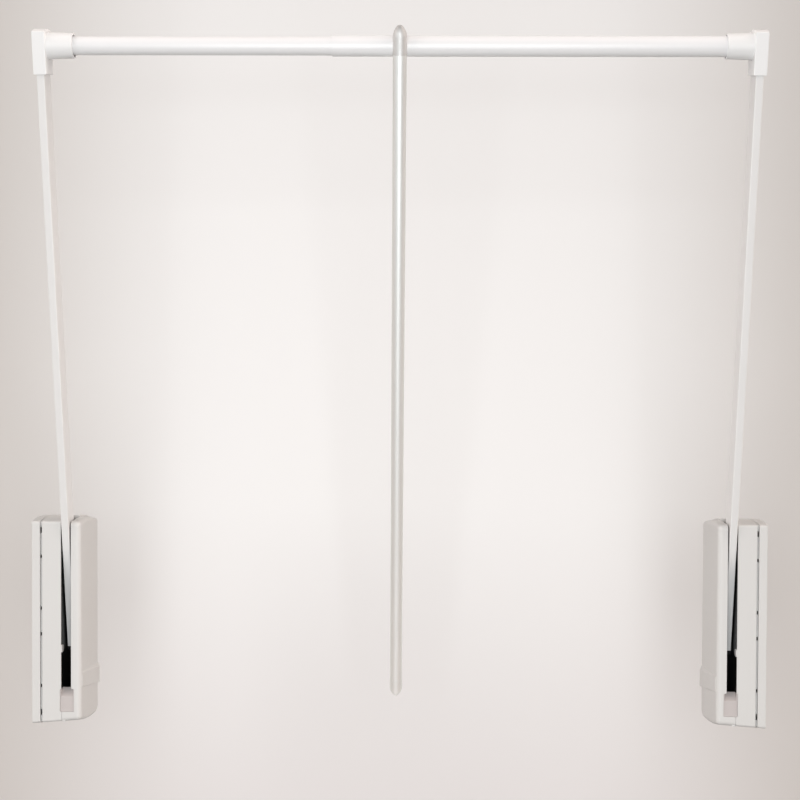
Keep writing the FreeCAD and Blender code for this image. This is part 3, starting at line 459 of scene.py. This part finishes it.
def punched_screw(name, profile):
    """Mesh of a turned screw with a cross recess in the top of its head."""
    screw = turned(name, profile)
    blades = [blade(name + "_blade", profile[-1][1], k) for k in (0, 1)]
    for cutter in blades:
        cut = screw.modifiers.new("recess", "BOOLEAN")
        cut.operation = "DIFFERENCE"
        cut.solver = "EXACT"
        cut.object = cutter
    graph = bpy.context.evaluated_depsgraph_get()
    mesh = bpy.data.meshes.new_from_object(screw.evaluated_get(graph))
    for helper in [screw] + blades:
        bpy.data.objects.remove(helper)
    return mesh


top_span = blade_span * (blade_foot_share + blade_head_share) / 2
print("recess:", round(top_span / mm, 2), "mm across,", round(blade_depth / mm, 2), "mm deep")

# %% [markdown]
# ### Set the screws in their places
#
# The pan heads face the wardrobe's back, in the four corners of the CAD node's box.
# Each flat head lies in the outer side of its elbow, and its cone is as wide as that
# node's box.

# %% Place the pan screws and the flat screws
sharp_angle = math.radians(35)
tip_radius = 1.2 * mm
tip_length = 1.0 * mm
shank_radius = 1.75 * mm
pan_radius = 3.5 * mm
pan_height = 2.0 * mm
cone_height = 2.0 * mm
# Pan head from its foot to its flat top, as shares of pan_radius and pan_height.
crown = [(1.0, 0.0), (1.0, 0.2), (0.96, 0.5), (0.84, 0.82), (0.62, 1.0)]


def shank(length):
    """Tip and shank of a screw, up to where its head begins."""
    return [(tip_radius, 0.0), (shank_radius, tip_length), (shank_radius, length)]


def place_screws(name, node, body, mesh, spots, facing):
    """Copies of a screw at the spots, its head's top there, in place of a CAD node."""
    turn = Vector(facing).to_track_quat("Z", "Y").to_matrix()
    head_top = max(v.co.z for v in mesh.vertices)
    vertices = []
    faces = []
    for spot in spots:
        first = len(vertices)
        vertices += [Vector(spot) + turn @ (v.co - Vector((0, 0, head_top))) for v in mesh.vertices]
        faces += [tuple(first + v for v in p.vertices) for p in mesh.polygons]
    piece = scene_object(name, vertices, faces)
    piece.data.shade_smooth()
    piece.data.set_sharp_from_angle(angle=sharp_angle)
    piece.data.materials.append(zinc_plate)
    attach(piece, body)
    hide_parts(node)
    return piece


screws = []
for side, outward in (("left", -1), ("right", 1)):
    low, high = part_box(side + "_shell_screws")
    head_foot = high[1] - low[1] - pan_height
    head = [(share * pan_radius, head_foot + rise * pan_height) for share, rise in crown]
    pan_screw = punched_screw("pan_screw", shank(head_foot) + head)
    spots = [(x, high[1], z) for x in (low[0] + pan_radius, high[0] - pan_radius)
             for z in (low[2] + pan_radius, high[2] - pan_radius)]
    screws.append(place_screws(side + "_pan_screws", side + "_shell_screws", side + "_housing",
                               pan_screw, spots, (0, 1, 0)))

    low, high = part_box(side + "_elbow_screw")
    length = high[0] - low[0]
    cone_radius = (high[2] - low[2]) / 2
    flat_screw = punched_screw("flat_screw", shank(length - cone_height) + [(cone_radius, length)])
    spot = (low[0] if outward < 0 else high[0], (low[1] + high[1]) / 2, (low[2] + high[2]) / 2)
    screws.append(place_screws(side + "_flat_screw", side + "_elbow_screw", side + "_frame",
                               flat_screw, [spot], (outward, 0, 0)))
print("screws:", [piece.name for piece in screws])

# %% [markdown]
# ## The camera
#
# A lens of 63 mm, somewhat longer than a normal one, a little above half the part's
# height. It stands slightly right of the middle and looks almost level, turned a
# touch to the left and down.

# %% Place the camera
eye = Vector((0.47402, -1.76736, 0.3183))
camera_yaw = math.radians(-0.76)
camera_pitch = math.radians(1.46)
camera_roll = math.radians(0.24)
lens_mm = 63.45
sensor_mm = 36.0

ahead = Vector((math.sin(camera_yaw) * math.cos(camera_pitch),
                math.cos(camera_yaw) * math.cos(camera_pitch), -math.sin(camera_pitch)))
level = Vector((math.cos(camera_yaw), -math.sin(camera_yaw), 0))
upright = level.cross(ahead)
right = math.cos(camera_roll) * level + math.sin(camera_roll) * upright
up = math.cos(camera_roll) * upright - math.sin(camera_roll) * level

camera_data = bpy.data.cameras.new("camera")
camera_data.lens = lens_mm
camera_data.sensor_width = sensor_mm
camera = bpy.data.objects.new("camera", camera_data)
camera.matrix_world = Matrix.Translation(eye) @ Matrix((right, up, -ahead)).transposed().to_4x4()
bpy.context.scene.collection.objects.link(camera)
bpy.context.scene.camera = camera
print("camera looks along", [round(v, 3) for v in ahead])

# %% [markdown]
# ## Backdrop and floor
#
# One curved sheet makes the wall and the floor, as a paper roll does in a studio,
# so no line shows behind the part.

# %% Sweep a paper backdrop
middle_x = 0.45
backdrop_y = 0.42
backdrop_top_z = 3.0
backdrop_half_width = 3.0
floor_z = -1.25
floor_front_y = -1.5
sweep_radius = 0.5
sweep_steps = 16

profile = [(floor_front_y, floor_z), (backdrop_y - sweep_radius, floor_z)]
for step in range(1, sweep_steps + 1):
    angle = math.pi / 2 * step / sweep_steps
    profile.append((backdrop_y - sweep_radius + sweep_radius * math.sin(angle),
                    floor_z + sweep_radius - sweep_radius * math.cos(angle)))
profile.append((backdrop_y, backdrop_top_z))
corners = [(middle_x + side * backdrop_half_width, y, z) for y, z in profile for side in (-1, 1)]
strips = [(2 * i, 2 * i + 1, 2 * i + 3, 2 * i + 2) for i in range(len(profile) - 1)]
backdrop_mesh = bpy.data.meshes.new("backdrop")
backdrop_mesh.from_pydata(corners, [], strips)
backdrop_mesh.shade_smooth()
backdrop = bpy.data.objects.new("backdrop", backdrop_mesh)
bpy.context.scene.collection.objects.link(backdrop)
print("backdrop strips:", len(strips))

# %% [markdown]
# ### The paper's tone and its painted shade
#
# Its white is graduated with painted shade: it turns to a painted warm grey shade at both
# sides, and is a little greyer low down, painted shade where the lamps' light falls off.
# The camera and mirrored rays see that white, and a mid grey lights the part from behind,
# as a paper far away would. The sheet's back is clear, so that the part can be looked at from behind
# too.

# %% Tone the paper, with painted shade
# Where the paper's painted shade lies: greyer below, warm grey towards both sides.
painted_shade_below_z = -0.4
white_above_z = 0.1
side_shade_start = 0.25    # from middle_x to either side
side_shade_end = 0.85

paper, paper_place = new_material("backdrop_paper")
paper_axes = add_node(paper, "SeparateXYZ", Vector=paper_place)
# Painted shade: the paper is greyer low down, where the lamps' light falls off.
rise = add_node(paper, "MapRange", Value=(paper_axes, "Z"), From_Min=painted_shade_below_z,
                From_Max=white_above_z)
paper_with_painted_low_shade = add_node(paper, "Mix", {"data_type": "RGBA"}, i0=(rise, "Result"),
                        i6=colour("ece9e9"), i7=colour("fafafa"))
# Painted shade: the paper turns a warm grey towards both sides.
off_middle = add_node(paper, "Math", {"operation": "SUBTRACT"}, i0=(paper_axes, "X"), i1=middle_x)
aside = add_node(paper, "Math", {"operation": "ABSOLUTE"}, i0=(off_middle, "Value"))
painted_side_shade = add_node(paper, "MapRange", {"interpolation_type": "SMOOTHSTEP"},
                     Value=(aside, "Value"), From_Min=side_shade_start, From_Max=side_shade_end)
paper_and_painted_shade = add_node(paper, "Mix", {"data_type": "RGBA"}, i0=(painted_side_shade, "Result"),
                      i6=(paper_with_painted_low_shade, 2), i7=colour("cbc6c1"))
seen_paper = add_node(paper, "BsdfDiffuse", Color=(paper_and_painted_shade, 2))
unseen_paper = add_node(paper, "BsdfDiffuse", Color=colour("8a8886"))

ray = add_node(paper, "LightPath")
mirrored = add_node(paper, "Math", {"operation": "MAXIMUM"}, i0=(ray, "Is Glossy Ray"),
                    i1=(ray, "Is Transmission Ray"))
seen = add_node(paper, "Math", {"operation": "MAXIMUM"}, i0=(ray, "Is Camera Ray"),
                i1=(mirrored, "Value"))
front_of_paper = add_node(paper, "MixShader", Fac=(seen, "Value"), i1=(unseen_paper, "BSDF"),
                          i2=(seen_paper, "BSDF"))
facing = add_node(paper, "NewGeometry")
through = add_node(paper, "BsdfTransparent")
finish_material(paper, add_node(paper, "MixShader", Fac=(facing, "Backfacing"),
                                i1=(front_of_paper, "Shader"), i2=(through, "BSDF")))
backdrop.data.materials.append(paper)
print("paper nodes:", len(paper.node_tree.nodes))

# %% [markdown]
# ## Studio light
#
# Three large soft lamps in a nearly neutral white. The main one stands lower than the
# camera and the next one higher, so the fronts are bright and the rod has one broad
# highlight. The third comes from the left, which gives the round sockets a slight turn.

# %% Hang the lamps
lamp_white = "f6f9fa"
middle = (cad_low + cad_high) / 2


def soft_lamp(name, place, width, height, power):
    """Rectangular area lamp that faces the middle of the part."""
    data = bpy.data.lights.new(name, "AREA")
    data.shape = "RECTANGLE"
    data.size = width
    data.size_y = height
    data.energy = power
    data.color = colour(lamp_white)[:3]
    lamp = bpy.data.objects.new(name, data)
    lamp.location = place
    lamp.rotation_euler = (middle - Vector(place)).to_track_quat("-Z", "Y").to_euler()
    bpy.context.scene.collection.objects.link(lamp)
    return lamp


lamps = [
    soft_lamp("front_lamp", (middle_x, -2.2, -0.1), width=1.2, height=1.3, power=21.5),
    soft_lamp("upper_lamp", (middle_x, -2.4, 0.72), width=1.2, height=0.8, power=11.5),
    soft_lamp("left_lamp", (-1.3, -1.45, 0.72), width=1.0, height=1.0, power=6.5),
]
print("lamps:", [lamp.name for lamp in lamps])

# %% [markdown]
# ## Light from the room
#
# A product is rarely lit by lamps alone: pale walls beside it throw light back. The
# world does that here. Each part of it is a soft lobe that is full in one direction
# and fades to nothing at a right angle to it. Both come from the sides and a little
# above, so what slopes upward is lighter than a plain side face, and undersides stay
# dark. In mirrored rays the sides are half as bright, so the rod keeps darker edges.
# The camera itself sees an even off-white where the paper ends.

# %% Fill the room from both sides
mirrored_share = 0.5
lobe_power = 3.0     # a higher power makes a narrower lobe
side_x = 0.89        # the lobes' direction, to the side and up
side_z = 0.455


def room_side(world, direction, hex_code, strength):
    """Light from the world that comes mostly from one direction."""
    place = add_node(world, "TexCoord")
    facing = add_node(world, "VectorMath", {"operation": "DOT_PRODUCT"}, i0=(place, "Generated"),
                      i1=direction)
    lit = add_node(world, "Math", {"operation": "MAXIMUM"}, i0=(facing, "Value"), i1=0.0)
    lobe = add_node(world, "Math", {"operation": "POWER"}, i0=(lit, "Value"), i1=lobe_power)
    ray = add_node(world, "LightPath")
    full = add_node(world, "MapRange", Value=(ray, "Is Glossy Ray"), To_Min=strength,
                    To_Max=strength * mirrored_share)
    level = add_node(world, "Math", {"operation": "MULTIPLY"}, i0=(lobe, "Value"),
                     i1=(full, "Result"))
    return add_node(world, "Background", Color=colour(hex_code), Strength=(level, "Value"))


world = bpy.data.worlds.new("studio")
bpy.context.scene.world = world
world.use_nodes = True
world.node_tree.nodes.clear()
left_side = room_side(world, (-side_x, 0, side_z), "fff5f0", 2.42)
right_side = room_side(world, (side_x, 0, side_z), "fff3ec", 3.1)
both_sides = add_node(world, "AddShader", i0=(left_side, "Background"), i1=(right_side, "Background"))
world_ray = add_node(world, "LightPath")
off_white = add_node(world, "Background", Color=colour("eeecea"), Strength=1.0)
room = add_node(world, "MixShader", Fac=(world_ray, "Is Camera Ray"), i1=(both_sides, "Shader"),
                i2=(off_white, "Background"))
add_node(world, "OutputWorld", Surface=(room, "Shader"))

bpy.context.scene.view_settings.view_transform = "Standard"
print("world nodes:", len(world.node_tree.nodes))
